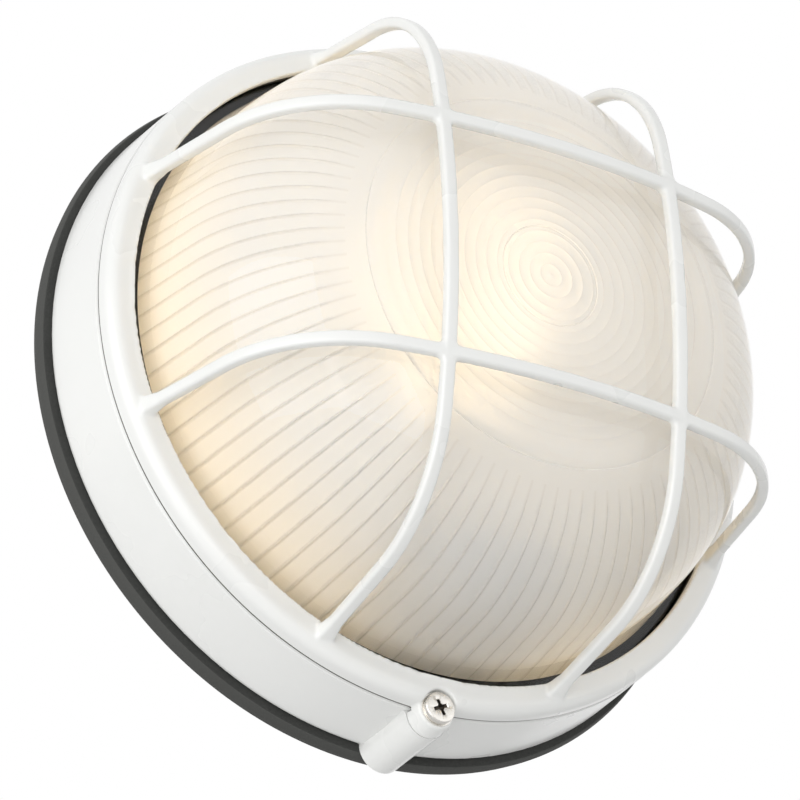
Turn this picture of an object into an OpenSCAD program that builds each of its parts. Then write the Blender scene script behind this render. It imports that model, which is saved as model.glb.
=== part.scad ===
// Round bulkhead light with a cast guard, a ribbed glass and a foam gasket against the wall.
// Each piece is drawn lying on its back, with the wall at z = 0, and then stood up on the wall:
// +X is to the right, +Z is up, the front faces -Y, and the origin is the middle of the wall face.

/* [Wall gasket] */
// Outside diameter of the gasket
gasket_d = 214; // [200:1:230]
// Thickness of the gasket
gasket_t = 5.6; // [2:0.1:8]
// Width of the gasket's flat ring
gasket_ring_w = 26; // [15:1:40]

/* [Base housing] */
// Diameter of the housing at the wall
base_d = 208.8; // [200:0.2:220]
// Depth of the housing, from the gasket to the parting line
base_h = 25.8; // [22:0.2:40]
// Radius that the side wall loses over its depth
base_draft = 1; // [0:0.1:3]
// Thickness of the side wall
wall_t = 3.2; // [2:0.1:5]
// Thickness of the floor
floor_t = 3; // [2:0.1:5]
// Radius of the edge at the wall
base_edge_r = 2; // [0.5:0.1:3]
// Chamfer at the parting line
parting_chamfer = 1; // [0.2:0.1:1.5]
// Distance between the two wall fixing holes
fixing_pitch = 88.9; // [70:0.1:110]
// Diameter of the wall fixing holes
fixing_hole_d = 5.5; // [4:0.1:8]
// Height of the radial floor ribs
floor_rib_h = 3; // [1:0.1:6]
// Thickness of the radial floor ribs
floor_rib_t = 2.4; // [1.5:0.1:4]

/* [Cable entry] */
// Diameter of the hole in the floor
entry_hole_d = 20; // [14:0.5:26]
// Diameter of the cable bore in the grommet
entry_bore_d = 10; // [6:0.5:12]
// Width of the grommet's lips
grommet_lip = 2.6; // [1.5:0.1:4]

/* [Guard ring] */
// Height of the ring, from the parting line to its front
ring_h = 6.3; // [5:0.1:10]
// Width of the ring's front face
ring_face_w = 7.9; // [7:0.1:12]
// Thickness of the ring's front face
ring_face_t = 2.4; // [1.8:0.1:3]
// Radius of the ring's outer front corner
ring_corner_r = 3.5; // [1:0.1:4.5]
// Step from the housing to the ring at the parting line
parting_step = 0.2; // [0:0.1:1]
// Gap at the parting line
parting_gap = 0.5; // [0.3:0.1:0.8]

/* [Guard bars] */
// Distance between the two parallel bars
bar_pitch = 73; // [60:1:90]
// Width of a bar
bar_w = 4.4; // [3:0.1:6]
// Depth of a bar
bar_depth = 3.7; // [3:0.1:7]
// Gap between the middle of the glass and the bars
bar_gap = 3.7; // [1.5:0.1:6]
// Radius of the flat crown of a bar
bar_crown_r = 265; // [220:1:400]
// Radius of the shoulders of a bar
bar_shoulder_r = 42.4; // [36:0.1:46]
// Lean of the legs from upright, in degrees
bar_lean = 12.3; // [8:0.1:16]
// Radius of the fillets where two bars cross
cross_fillet_r = 3; // [1:0.1:6]
// Height of the flare at the foot of a leg
foot_flare_h = 7; // [3:0.5:12]
// Width that the flare adds on each side
foot_flare_w = 1.2; // [0.4:0.1:2]

/* [Glass] */
// Wall thickness of the glass
glass_t = 3.4; // [2.5:0.1:4.5]
// Height of the glass over the ring's front face
glass_rise = 61.7; // [55:0.1:75]
// Gap between the ring and the glass
glass_gap = 3.5; // [2.5:0.1:5]
// Radius of the nearly flat front of the glass
glass_crown_r = 700; // [400:10:1500]
// Radius of the shoulder of the glass
glass_shoulder_r = 48.9; // [44:0.1:54]
// Lean of the side of the glass from upright, in degrees
glass_lean = 9; // [6:0.1:12]
// Thickness of the foot flange
flange_t = 3.4; // [2.5:0.1:4]
// Number of ribs down the inside of the glass
rib_count = 96; // [48:2:120]
// Depth of the ribs
rib_depth = 0.9; // [0.4:0.1:1.4]
// Number of concentric rings in the front of the glass
lens_rings = 15; // [8:1:18]
// Spacing of the concentric rings
lens_pitch = 3.4; // [2.5:0.1:3.6]
// Width of the plain band around the rings
lens_band_w = 9.4; // [2:0.1:12]

/* [Seal] */
// Thickness of the seal's lips
seal_lip_t = 1.6; // [1:0.1:1.8]
// Thickness of the seal's outer web
seal_web_t = 1.5; // [1:0.1:2.5]

/* [Retaining screws] */
// Thread diameter
screw_d = 5; // [4:0.1:6]
// Head diameter
head_d = 9.5; // [8:0.1:11]
// Head height
head_h = 1.7; // [1.4:0.1:3.2]
// Length under the head
screw_len = 16; // [12:0.5:24]
// Radius of the lugs that hold the screws, at their seam
lug_r = 6.4; // [6:0.1:8]
// How far the seam of the lugs lies behind the parting line
lug_drop = 1.9; // [0.5:0.1:4]
// Radius that a lug gains from its seam to the wall
lug_draft = 0.5; // [0:0.1:1.5]
// Radius of the fillets between a lug and the side wall
lug_fillet_r = 1.5; // [0.5:0.1:3]
// How far the guard's lug fillets run into its ring and lugs
fillet_sink = 0.15; // [0.05:0.05:0.4]
// Distance of the screw axis outside the housing's edge
screw_out = 0.35; // [0:0.05:2]
// Thickness of the guard's lugs
guard_lug_t = 3.2; // [1.2:0.1:3.6]
// Radius that a guard lug loses over its thickness
guard_lug_taper = 0.9; // [0:0.1:0.9]
// Thickness of the washer under the head
washer_t = 0.5; // [0.3:0.1:1]

/* [Lamp] */
// Diameter of the lamp's bulb
bulb_d = 60; // [50:1:64]
// Length of the lamp
lamp_len = 106; // [98:1:112]
// Height of the lamp's axis over the wall
lamp_axis_h = 50; // [44:1:54]
// Diameter of the lamp's screw cap
cap_d = 26; // [24:0.1:27]
// Length of the lamp's screw cap
cap_len = 24; // [20:0.5:26]

/* [Lampholder] */
// Diameter of the rear flange of the porcelain body
holder_flange_d = 46; // [44:0.5:50]
// Thickness of the rear flange
holder_flange_t = 12; // [10:0.5:14]
// Length of the porcelain body
holder_len = 38; // [36:0.5:42]
// Wall thickness of the porcelain barrel
holder_wall = 2.6; // [2:0.1:3]
// Distance from the foot of the glass in to the back of the body
holder_back = 23.8; // [22:0.2:25.8]
// Sheet thickness of the brass shell and terminals
brass_t = 0.6; // [0.4:0.1:1]
// Thread diameter of the lampholder's screws
holder_screw_d = 3; // [2.5:0.1:4]

/* [Bracket] */
// Sheet thickness of the bracket
bracket_t = 2; // [1.2:0.1:3]
// Width of the bracket
bracket_w = 30; // [26:1:40]
// Length of the bracket's foot
bracket_foot = 36; // [30:1:40]
// Height of the bosses that carry the bracket
boss_h = 6; // [4:0.5:10]
// Distance between the two bracket screws
bracket_pitch = 18; // [14:0.5:22]
// Thread diameter of the bracket screws and the earth screw
small_screw_d = 4; // [3:0.1:5]

/* [Hidden] */
$fn = 128;

white = [0.95, 0.95, 0.93];
black = [0.13, 0.13, 0.13];
zinc = [0.78, 0.78, 0.76];
brass = [0.80, 0.66, 0.36];

fit = 0.3;            // clearance between pieces that are pushed together
thread_fit = 0.1;     // radial clearance of a screw in its tapped hole
cut = 1;              // how far a cutter runs past the face that it opens

// Heights over the wall
floor_back = gasket_t;
floor_top = floor_back + floor_t;
base_top = floor_back + base_h;
ring_back = base_top + parting_gap;
ring_front = ring_back + ring_h;
ring_under = ring_front - ring_face_t;
flange_top = ring_under - seal_lip_t;
flange_back = flange_top - flange_t;
seal_back = flange_back - seal_lip_t;
ledge_top = seal_back - fit;

// Radii from the middle outwards
base_r = base_d / 2;
base_top_r = base_r - base_draft;
ring_r = base_top_r - parting_step;
ring_inner_r = ring_r - ring_face_w;
screw_r = base_top_r + screw_out;
spot_r = head_d / 2 + fit;
skirt_inner_r = screw_r - spot_r - fit;
seal_r = skirt_inner_r - fit;
flange_r = seal_r - seal_web_t;
rebate_r = seal_r + 2 * fit;
glass_foot_r = ring_inner_r - glass_gap;
ledge_inner_r = glass_foot_r - glass_t + 2 * fit;

// A rise with a wide crown arc, a tighter shoulder arc and a straight leg, all tangent.
// The angle at which the crown meets the shoulder, from the middle:
function crown_angle(top, crown_r, shoulder_r, lean, foot_r, foot_h) =
  asin(cos(lean) * (foot_r - shoulder_r * cos(lean)
    - (top - crown_r + shoulder_r * sin(lean) - foot_h) * tan(lean))
    / (crown_r - shoulder_r)) - lean;
// The middle of the shoulder arc:
function shoulder_centre(top, crown_r, shoulder_r, angle) = [
  (crown_r - shoulder_r) * sin(angle),
  top - crown_r + (crown_r - shoulder_r) * cos(angle)
];
// A point at an angle from upright on an arc:
function on_arc(centre, r, angle) = centre + r * [sin(angle), cos(angle)];

// Glass profile
glass_top = ring_front + glass_rise;
glass_angle = crown_angle(glass_top, glass_crown_r, glass_shoulder_r, glass_lean, glass_foot_r, ring_front);
glass_shoulder = shoulder_centre(glass_top, glass_crown_r, glass_shoulder_r, glass_angle);
glass_crown_centre = [0, glass_top - glass_crown_r];
glass_leg_angle = 90 - glass_lean;
shoulder_steps = 18;
crown_steps = 4;
// Radius of the glass at a height on its straight side, at a depth inside the outer face:
function glass_side_r(h, depth) =
  glass_foot_r + (ring_front - h) * tan(glass_lean) - depth / cos(glass_lean);
// Points of the profile from the middle of the crown down to a height on the side:
function glass_profile(depth, h) = concat(
  [for (i = [0 : crown_steps - 1])
    on_arc(glass_crown_centre, glass_crown_r - depth, i * glass_angle / crown_steps)],
  [for (i = [0 : shoulder_steps])
    on_arc(glass_shoulder, glass_shoulder_r - depth,
      glass_angle + i * (glass_leg_angle - glass_angle) / shoulder_steps)],
  [[glass_side_r(h, depth), h]]
);
// Height of the inner face over a radius on the crown or the shoulder:
function glass_inner_h(r) =
  r < (glass_crown_r - glass_t) * sin(glass_angle)
    ? glass_crown_centre[1] + sqrt(pow(glass_crown_r - glass_t, 2) - r * r)
    : glass_shoulder[1] + sqrt(pow(glass_shoulder_r - glass_t, 2) - pow(r - glass_shoulder[0], 2));
lens_r = lens_rings * lens_pitch;
rib_top_r = lens_r + lens_band_w;
rib_top_angle = asin((rib_top_r - glass_shoulder[0]) / (glass_shoulder_r - glass_t));
rib_rows = 7;

// Guard bar profile
bar_offset = bar_pitch / 2;
bar_foot_r = ring_inner_r + ring_face_w / 3;
bar_foot = sqrt(pow(bar_foot_r, 2) - pow(bar_offset, 2));
bar_top = glass_top + bar_gap + bar_depth / 2;
bar_angle = crown_angle(bar_top, bar_crown_r, bar_shoulder_r, bar_lean, bar_foot, ring_front);
bar_shoulder = shoulder_centre(bar_top, bar_crown_r, bar_shoulder_r, bar_angle);
bar_leg_top = on_arc(bar_shoulder, bar_shoulder_r, 90 - bar_lean);
bar_sink = ring_face_t / 2;
bar_leg_len = (bar_leg_top[1] - ring_front + bar_sink) / cos(bar_lean);
cross_h = bar_top - bar_crown_r + sqrt(pow(bar_crown_r, 2) - pow(bar_offset, 2));
bar_lap = 1;          // how far one stretch of a bar runs into the next
bar_slim = 0.02;      // how much slimmer each stretch is than the one below it

// Screws, lugs and washers
guard_lug_top = ring_back + guard_lug_t;
head_under = guard_lug_top + washer_t;
screw_hole_r = screw_d / 2 + thread_fit;
screw_hole_bottom = head_under - screw_len - cut;
recess_depth = head_h * 0.7;

// Lamp and lampholder, whose axis runs up across the light
barrel_inner_r = cap_d / 2 + 2 * fit + brass_t;
barrel_r = barrel_inner_r + holder_wall;
holder_at = glass_foot_r - holder_back;
holder_mouth = holder_len - holder_at;
cavity_depth = cap_len + 2 * fit + 2 * brass_t;
cavity_floor = holder_mouth - cavity_depth;
flange_front = holder_flange_t - holder_at;
contact_top = cavity_floor + 2 * brass_t;
lamp_tip = contact_top + fit;
bulb_r = bulb_d / 2;
bulb_middle = lamp_tip + lamp_len - bulb_r;
neck_r = cap_d / 2 + 1.5;
holder_screw_head_r = holder_screw_d * 0.9;
holder_screw_head_h = holder_screw_d * 0.7;
holder_screw_at = barrel_r + fit + holder_screw_head_r;
holder_nut_r = holder_screw_d;
holder_nut_t = holder_screw_d * 0.8;
pocket_w = 10;
pocket_floor = holder_flange_d / 2 - 5;
pocket_middle = (cavity_floor - holder_at) / 2;
terminal_screw_r = holder_screw_d / 2;
terminal_screw_in = 3;

// Bracket, bosses and earth screw
bracket_back = -holder_at - bracket_t;
bracket_top = lamp_axis_h + holder_screw_at + 2 * holder_screw_d;
foot_back = floor_top + boss_h;
foot_top = foot_back + bracket_t;
boss_r = small_screw_d + 1;
small_head_r = small_screw_d * 0.95;
small_head_h = small_screw_d * 0.65;
small_washer_r = small_screw_d * 1.1;
small_washer_t = small_screw_d * 0.2;
small_screw_len = boss_h;
bracket_screw_y = bracket_back + bracket_foot * 0.68;
earth_at = [bracket_w + boss_r, bracket_screw_y];
floor_rib_angles = [35, 90, 145, 205, 335];
floor_rib_start = entry_hole_d / 2 + 3 * grommet_lip;
fixing_boss_r = fixing_hole_d / 2 + 3;
fixing_boss_h = floor_rib_h;

module on_wall() {
  rotate([90, 0, 0]) children();
}

module across() {
  translate([0, 0, lamp_axis_h]) rotate([-90, 0, 0]) children();
}

module both_lugs() {
  for (side = [-1, 1]) {
    translate([0, side * screw_r, 0]) children();
  }
}

module pan_screw(d, len, head_r, head_height, recess) {
  difference() {
    union() {
      translate([0, 0, -len]) cylinder(h = len, d = d);
      rotate_extrude() pan_head_outline(head_r, head_height);
    }
    translate([0, 0, head_height - recess]) cross_recess(head_r, recess + cut);
  }
}

module pan_head_outline(head_r, head_height) {
  crown = head_height * 0.45;
  polygon([
    [0, 0], [head_r * 0.96, 0], [head_r, head_height * 0.12], [head_r, head_height - crown],
    [head_r * 0.93, head_height - crown * 0.45], [head_r * 0.78, head_height - crown * 0.12],
    [head_r * 0.55, head_height], [0, head_height]
  ]);
}

module cross_recess(head_r, depth) {
  slot = head_r * 0.24;
  reach = head_r * 0.62;
  for (turn = [0, 90]) {
    rotate(turn) translate([-reach, -slot / 2, 0]) cube([2 * reach, slot, depth]);
  }
}

module wall_gasket() {
  inner_r = gasket_d / 2 - gasket_ring_w;
  color(black) on_wall() difference() {
    cylinder(h = gasket_t, d = gasket_d);
    translate([0, 0, -cut]) cylinder(h = gasket_t + 2 * cut, r = inner_r);
  }
}

module base_outline() {
  inner_foot_r = base_r - wall_t;
  inner_top_r = base_top_r - wall_t;
  ledge_under = ledge_top - floor_t;
  gusset_h = inner_top_r - ledge_inner_r;
  edge_steps = 4;
  edge = [for (i = [0 : edge_steps])
    [base_r - base_edge_r, floor_back + base_edge_r]
      + base_edge_r * [sin(i * 90 / edge_steps), -cos(i * 90 / edge_steps)]];
  polygon(concat(
    [[0, floor_back]], edge,
    [
      [base_top_r, base_top - parting_chamfer], [base_top_r - parting_chamfer, base_top],
      [rebate_r, base_top], [rebate_r, ledge_top], [ledge_inner_r, ledge_top], [ledge_inner_r, ledge_under],
      [inner_top_r, max(ledge_under - gusset_h, floor_top + 2 * base_edge_r)],
      [inner_foot_r, floor_top + base_edge_r], [inner_foot_r - base_edge_r, floor_top], [0, floor_top]
    ]
  ));
}

module boss(at, r, h) {
  translate([at[0], at[1], floor_back + floor_t / 2]) cylinder(h = h + floor_t / 2, r = r);
}

module hole(at, r) {
  translate([at[0], at[1], floor_back - cut]) cylinder(h = base_h, r = r);
}

module base_lug() {
  translate([0, 0, floor_back]) cylinder(h = base_h - lug_drop, r1 = lug_r + lug_draft, r2 = lug_r);
}

// Fillets on both sides of a lug of radius r on a round wall of radius wall_r, seen along the screw:
// each is the corner between the two, less a circle that touches both.
module lug_fillets(r, wall_r) {
  reach = wall_r + lug_fillet_r;
  span = r + lug_fillet_r;
  rise = (reach * reach + screw_r * screw_r - span * span) / (2 * screw_r);
  centre = [sqrt(reach * reach - rise * rise), rise];
  on_wall_circle = centre * wall_r / reach;
  on_lug = [0, screw_r] + (centre - [0, screw_r]) * r / span;
  for (turn = [0, 180], flip = [0, 1]) {
    rotate(turn) mirror([flip, 0]) difference() {
      polygon([[0, rise], on_wall_circle, centre, on_lug]);
      translate(centre) circle(r = lug_fillet_r);
    }
  }
}

module base_housing() {
  rib_end = base_r - wall_t - base_edge_r;
  color(white) on_wall() difference() {
    union() {
      rotate_extrude() base_outline();
      difference() {
        union() {
          both_lugs() base_lug();
          translate([0, 0, floor_back]) linear_extrude(base_h - lug_drop) lug_fillets(lug_r, base_top_r);
        }
        translate([0, 0, floor_top]) cylinder(h = base_h, r = rebate_r);
      }
      for (side = [-1, 1]) {
        boss([side * fixing_pitch / 2, 0], fixing_boss_r, fixing_boss_h);
        boss([side * bracket_pitch / 2, bracket_screw_y], boss_r, boss_h);
      }
      boss(earth_at, boss_r, boss_h);
      for (angle = floor_rib_angles) {
        rotate(angle) translate([floor_rib_start, -floor_rib_t / 2, floor_back + floor_t / 2])
          cube([rib_end - floor_rib_start, floor_rib_t, floor_rib_h + floor_t / 2]);
      }
    }
    both_lugs() translate([0, 0, screw_hole_bottom]) cylinder(h = base_top, r = screw_hole_r);
    hole([0, 0], entry_hole_d / 2);
    for (side = [-1, 1]) {
      hole([side * fixing_pitch / 2, 0], fixing_hole_d / 2);
      translate([side * bracket_pitch / 2, bracket_screw_y, floor_top])
        cylinder(h = boss_h + cut, r = small_screw_d / 2 + thread_fit);
    }
    translate([earth_at[0], earth_at[1], floor_top])
      cylinder(h = boss_h + cut, r = small_screw_d / 2 + thread_fit);
  }
}

module cable_grommet() {
  neck = entry_hole_d / 2;
  lip = neck + grommet_lip;
  bore = entry_bore_d / 2;
  back = floor_back - grommet_lip;
  front = floor_top + grommet_lip;
  color(black) on_wall() rotate_extrude() polygon([
    [bore, back], [lip - 1, back], [lip, back + 1], [lip, floor_back], [neck, floor_back],
    [neck, floor_top], [lip, floor_top], [lip, front - 1], [lip - 1, front], [bore, front]
  ]);
}

module small_washer() {
  difference() {
    cylinder(h = small_washer_t, r = small_washer_r);
    translate([0, 0, -cut]) cylinder(h = small_washer_t + 2 * cut, r = small_screw_d / 2 + thread_fit);
  }
}

module small_screw() {
  pan_screw(small_screw_d, small_screw_len, small_head_r, small_head_h, small_head_h * 0.6);
}

module earth_washer() {
  color(brass) on_wall() translate([earth_at[0], earth_at[1], foot_back]) small_washer();
}

module earth_screw() {
  color(brass) on_wall() translate([earth_at[0], earth_at[1], foot_back + small_washer_t]) small_screw();
}

module holder_bracket() {
  bend_r = 2 * bracket_t;
  upright = bracket_top - foot_back;
  hole_r = small_screw_d / 2 + fit;
  color(zinc) on_wall() difference() {
    translate([-bracket_w / 2, 0, 0]) rotate([90, 0, 90]) linear_extrude(bracket_w) difference() {
      translate([bracket_back, foot_back]) square([bracket_foot, upright]);
      translate([bracket_back + bracket_t, foot_top + bend_r]) square([bracket_foot, upright]);
      translate([bracket_back + bracket_t + bend_r, foot_top]) square([bracket_foot, upright]);
      translate([bracket_back + bracket_t + bend_r, foot_top + bend_r]) circle(r = bend_r);
    }
    for (side = [-1, 1]) {
      translate([side * bracket_pitch / 2, bracket_screw_y, foot_back - cut])
        cylinder(h = bracket_t + 2 * cut, r = hole_r);
      across() translate([0, side * holder_screw_at, bracket_back - cut])
        cylinder(h = bracket_t + 2 * cut, r = holder_screw_d / 2 + fit / 2);
    }
  }
}

module at_bracket_screws(h) {
  for (side = [-1, 1]) {
    translate([side * bracket_pitch / 2, bracket_screw_y, h]) children();
  }
}

module bracket_washers() {
  color(zinc) on_wall() at_bracket_screws(foot_top) small_washer();
}

module bracket_screws() {
  color(zinc) on_wall() at_bracket_screws(foot_top + small_washer_t)
    pan_screw(small_screw_d, small_screw_len + bracket_t, small_head_r, small_head_h, small_head_h * 0.6);
}

module lampholder_body() {
  flange_r0 = holder_flange_d / 2;
  bead = 1;
  color([0.93, 0.91, 0.86]) on_wall() difference() {
    across() rotate_extrude() polygon([
      [0, -holder_at], [flange_r0 - bead, -holder_at], [flange_r0, bead - holder_at],
      [flange_r0, flange_front - bead], [flange_r0 - bead, flange_front], [barrel_r, flange_front],
      [barrel_r, holder_mouth - 4 * bead], [barrel_r + bead, holder_mouth - 3 * bead],
      [barrel_r + bead, holder_mouth - bead], [barrel_r, holder_mouth], [barrel_inner_r, holder_mouth],
      [barrel_inner_r, cavity_floor], [0, cavity_floor]
    ]);
    for (side = [-1, 1]) {
      across() translate([0, side * holder_screw_at, -holder_at - cut])
        cylinder(h = holder_flange_t + 2 * cut, r = holder_screw_d / 2 + fit / 2);
      across() translate([side * (pocket_floor + pocket_w / 2), 0, pocket_middle])
        cube([pocket_w, pocket_w, pocket_w * 0.8], center = true);
      across() translate([side * pocket_floor, 0, pocket_middle]) rotate([0, side * 90, 0])
        translate([0, 0, -terminal_screw_in]) cylinder(h = terminal_screw_in + cut, r = terminal_screw_r + thread_fit);
    }
  }
}

module lampholder_shell() {
  outer = barrel_inner_r - fit;
  inner = outer - brass_t;
  lip = inner * 0.55;
  color(brass) on_wall() across() rotate_extrude() polygon([
    [lip, cavity_floor], [outer, cavity_floor], [outer, holder_mouth - 2 * fit], [inner, holder_mouth - 2 * fit],
    [inner, cavity_floor + brass_t], [lip, cavity_floor + brass_t]
  ]);
}

module lampholder_contact() {
  disc_r = barrel_inner_r * 0.3;
  tip_r = disc_r * 0.6;
  color(brass) on_wall() across() rotate_extrude() polygon([
    [0, cavity_floor], [disc_r, cavity_floor], [disc_r, cavity_floor + brass_t],
    [tip_r, contact_top - fit / 3], [tip_r * 0.7, contact_top], [0, contact_top]
  ]);
}

module at_terminals(out) {
  for (side = [-1, 1]) {
    across() translate([side * (pocket_floor + out), 0, pocket_middle])
      rotate([0, side * 90, 0]) children();
  }
}

module terminal_plates() {
  side = pocket_w * 0.8 - 2 * fit;
  color(brass) on_wall() at_terminals(0) difference() {
    translate([-side / 2, -side / 2, 0]) cube([side, side, 2 * brass_t]);
    translate([0, 0, -cut]) cylinder(h = 2 * brass_t + 2 * cut, r = terminal_screw_r + thread_fit);
  }
}

module terminal_screws() {
  color(brass) on_wall() at_terminals(2 * brass_t)
    pan_screw(holder_screw_d, terminal_screw_in + brass_t, holder_screw_head_r, holder_screw_head_h,
      holder_screw_head_h * 0.6);
}

module lampholder_screws() {
  len = holder_flange_t + bracket_t + holder_nut_t + 2 * fit;
  color(zinc) on_wall() across() for (side = [-1, 1]) {
    translate([0, side * holder_screw_at, flange_front])
      pan_screw(holder_screw_d, len, holder_screw_head_r, holder_screw_head_h, holder_screw_head_h * 0.6);
  }
}

module lampholder_nuts() {
  color(zinc) on_wall() across() for (side = [-1, 1]) {
    translate([0, side * holder_screw_at, bracket_back - holder_nut_t]) difference() {
      cylinder(h = holder_nut_t, r = holder_nut_r, $fn = 6);
      translate([0, 0, -cut]) cylinder(h = holder_nut_t + 2 * cut, r = holder_screw_d / 2 + thread_fit);
    }
  }
}

module lamp() {
  tip_r = cap_d * 0.18;
  cap_r = cap_d / 2;
  cap_end = lamp_tip + cap_len;
  thread_pitch = 3.6;
  thread_depth = 0.8;
  thread_start = lamp_tip + 5;
  turns = floor((cap_end - thread_start - 2) / thread_pitch);
  bulb_steps = 16;
  bulb_from = 142;
  cap_thread = [for (i = [0 : turns - 1]) each [
    [cap_r, thread_start + i * thread_pitch], [cap_r, thread_start + (i + 0.4) * thread_pitch],
    [cap_r - thread_depth, thread_start + (i + 0.6) * thread_pitch],
    [cap_r - thread_depth, thread_start + (i + 0.8) * thread_pitch]
  ]];
  bulb = [for (i = [0 : bulb_steps]) let (a = bulb_from * (1 - i / bulb_steps))
    [bulb_r * sin(a), bulb_middle + bulb_r * cos(a)]];
  color([0.97, 0.96, 0.92]) on_wall() across() rotate_extrude() polygon(concat(
    [[0, lamp_tip], [tip_r, lamp_tip], [tip_r + 1, lamp_tip + 1.5], [cap_r - 1, lamp_tip + 4]],
    cap_thread,
    [[cap_r, cap_end], [neck_r, cap_end + 3], [neck_r, cap_end + 8]], bulb
  ));
}

module glass_seal() {
  inner_front = ring_inner_r + fit;
  inner_back = ledge_inner_r;
  color(black) on_wall() rotate_extrude() polygon([
    [inner_back, seal_back], [seal_r, seal_back], [seal_r, ring_under], [inner_front, ring_under],
    [inner_front, flange_top], [flange_r, flange_top], [flange_r, flange_back], [inner_back, flange_back]
  ]);
}

// The ribbed hollow of the side: rows of points round the inside, every other one on a rib.
module rib_hollow() {
  spread = 2 * rib_count;
  low = flange_back - cut;
  rows = concat(
    [for (rib = [0, rib_depth]) [glass_side_r(low, glass_t + rib), low]],
    [for (row = [0 : rib_rows]) for (rib = [0, rib_depth])
      on_arc(glass_shoulder, glass_shoulder_r - glass_t - rib,
        glass_leg_angle + row * (rib_top_angle - glass_leg_angle) / rib_rows)]
  );
  row_count = len(rows) / 2;
  // A rib keeps its height in the row, so that the row is level and the cap is flat
  points = concat(
    [for (row = [0 : row_count - 1]) for (k = [0 : spread - 1])
      let (p = rows[2 * row + k % 2], h = rows[2 * row][1], angle = k * 360 / spread)
        [p[0] * cos(angle), p[0] * sin(angle), row == 0 || row == row_count - 1 ? h : p[1]]],
    [[0, 0, rows[0][1]], [0, 0, rows[2 * row_count - 2][1]]]
  );
  foot_mid = row_count * spread;
  top_mid = foot_mid + 1;
  top_row = (row_count - 1) * spread;
  sides = [for (row = [0 : row_count - 2]) for (k = [0 : spread - 1])
    let (a = row * spread + k, b = row * spread + (k + 1) % spread)
      each [[a, a + spread, b], [b, a + spread, b + spread]]];
  caps = [for (k = [0 : spread - 1])
    each [[foot_mid, k, (k + 1) % spread], [top_mid, top_row + (k + 1) % spread, top_row + k]]];
  polyhedron(points, concat(sides, caps));
}

// The hollow of the front, with one sharp ridge between each two concentric rings.
// It stops short of the ribs' ends, which leaves a small step round it.
module lens_hollow() {
  edge_r = rib_top_r - rib_depth;
  low = glass_inner_h(rib_top_r) - cut / 2;
  rings = [for (i = [0 : lens_rings - 1]) each [
    [i * lens_pitch, glass_inner_h(i * lens_pitch)],
    [(i + 0.5) * lens_pitch, glass_inner_h((i + 0.5) * lens_pitch) - rib_depth]
  ]];
  band = [for (r = [lens_r, (lens_r + edge_r) / 2, edge_r]) [r, glass_inner_h(r)]];
  rotate_extrude() polygon(concat(rings, band, [[edge_r, low], [0, low]]));
}

module glass_dome() {
  color([0.93, 0.91, 0.86, 0.8]) on_wall() difference() {
    rotate_extrude() polygon(concat(
      glass_profile(0, flange_top),
      [[flange_r, flange_top], [flange_r, flange_back], [0, flange_back]]
    ));
    rib_hollow();
    lens_hollow();
  }
}

// Section of a bar: x points out of the guard, y runs across the bar.
// The leg is stretch 0, the shoulder 1 and the crown 2.
module bar_section(stretch) {
  slim = 1 - stretch * bar_slim;
  front = slim * bar_depth / 2;
  half = slim * bar_w / 2;
  taper = half * 0.12;
  bar_front_r = half * 0.72;
  bar_back_r = half * 0.32;
  corner_steps = 2;
  corner = [for (i = [0 : corner_steps])
    [front - bar_front_r, half - taper - bar_front_r]
      + bar_front_r * [sin(i * 90 / corner_steps), cos(i * 90 / corner_steps)]];
  side = concat([[bar_back_r - front, half], [0, half]], corner);
  mirrored = [for (i = [len(side) - 1 : -1 : 0]) [side[i][0], -side[i][1]]];
  polygon(concat(
    [[-front, half - bar_back_r]], side, mirrored, [[-front, bar_back_r - half]]
  ));
}

module bar_arc(centre, r, from, to, stretch) {
  translate([centre[0], 0, centre[1]]) rotate([90, 0, 0]) rotate(90 - to)
    rotate_extrude(angle = to - from) translate([r, 0]) bar_section(stretch);
}

// The angle that a length takes on an arc:
function arc_angle(length, r) = length / r * 180 / PI;

module bar_leg() {
  leg_angle = 90 - bar_lean + arc_angle(bar_lap, bar_shoulder_r);
  bar_arc(bar_shoulder, bar_shoulder_r, bar_angle, leg_angle, 1);
  translate([bar_leg_top[0], 0, bar_leg_top[1]]) rotate([0, -bar_lean, 0]) translate([0, 0, -bar_leg_len]) {
    linear_extrude(bar_leg_len) bar_section(0);
    cylinder(h = foot_flare_h, r1 = bar_w / 2 + foot_flare_w, r2 = bar_w / 2);
  }
}

module guard_bar() {
  crown_end = bar_angle + arc_angle(bar_lap, bar_crown_r);
  bar_arc([0, bar_top - bar_crown_r], bar_crown_r, -crown_end, crown_end, 2);
  for (turn = [0, 180]) {
    rotate(turn) bar_leg();
  }
}

module cross_fillets() {
  reach = bar_w / 2 + cross_fillet_r;
  thick = bar_depth * 0.6;
  for (x = [-1, 1]) {
    for (y = [-1, 1]) {
      translate([x * bar_offset, y * bar_offset, cross_h - thick / 2]) linear_extrude(thick) difference() {
        square(2 * reach, center = true);
        for (i = [-1, 1]) {
          for (j = [-1, 1]) {
            translate([i * reach, j * reach]) circle(r = cross_fillet_r);
          }
        }
      }
    }
  }
}

module ring_outline() {
  lip_r = ring_face_t / 4;
  corner_steps = 5;
  corner = [for (i = [0 : corner_steps])
    [ring_r - ring_corner_r, ring_front - ring_corner_r]
      + ring_corner_r * [cos(i * 90 / corner_steps), sin(i * 90 / corner_steps)]];
  polygon(concat(
    [[skirt_inner_r, ring_back], [ring_r, ring_back]], corner,
    [
      [ring_inner_r + lip_r, ring_front], [ring_inner_r, ring_front - lip_r], [ring_inner_r, ring_under],
      [skirt_inner_r, ring_under]
    ]
  ));
}

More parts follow.
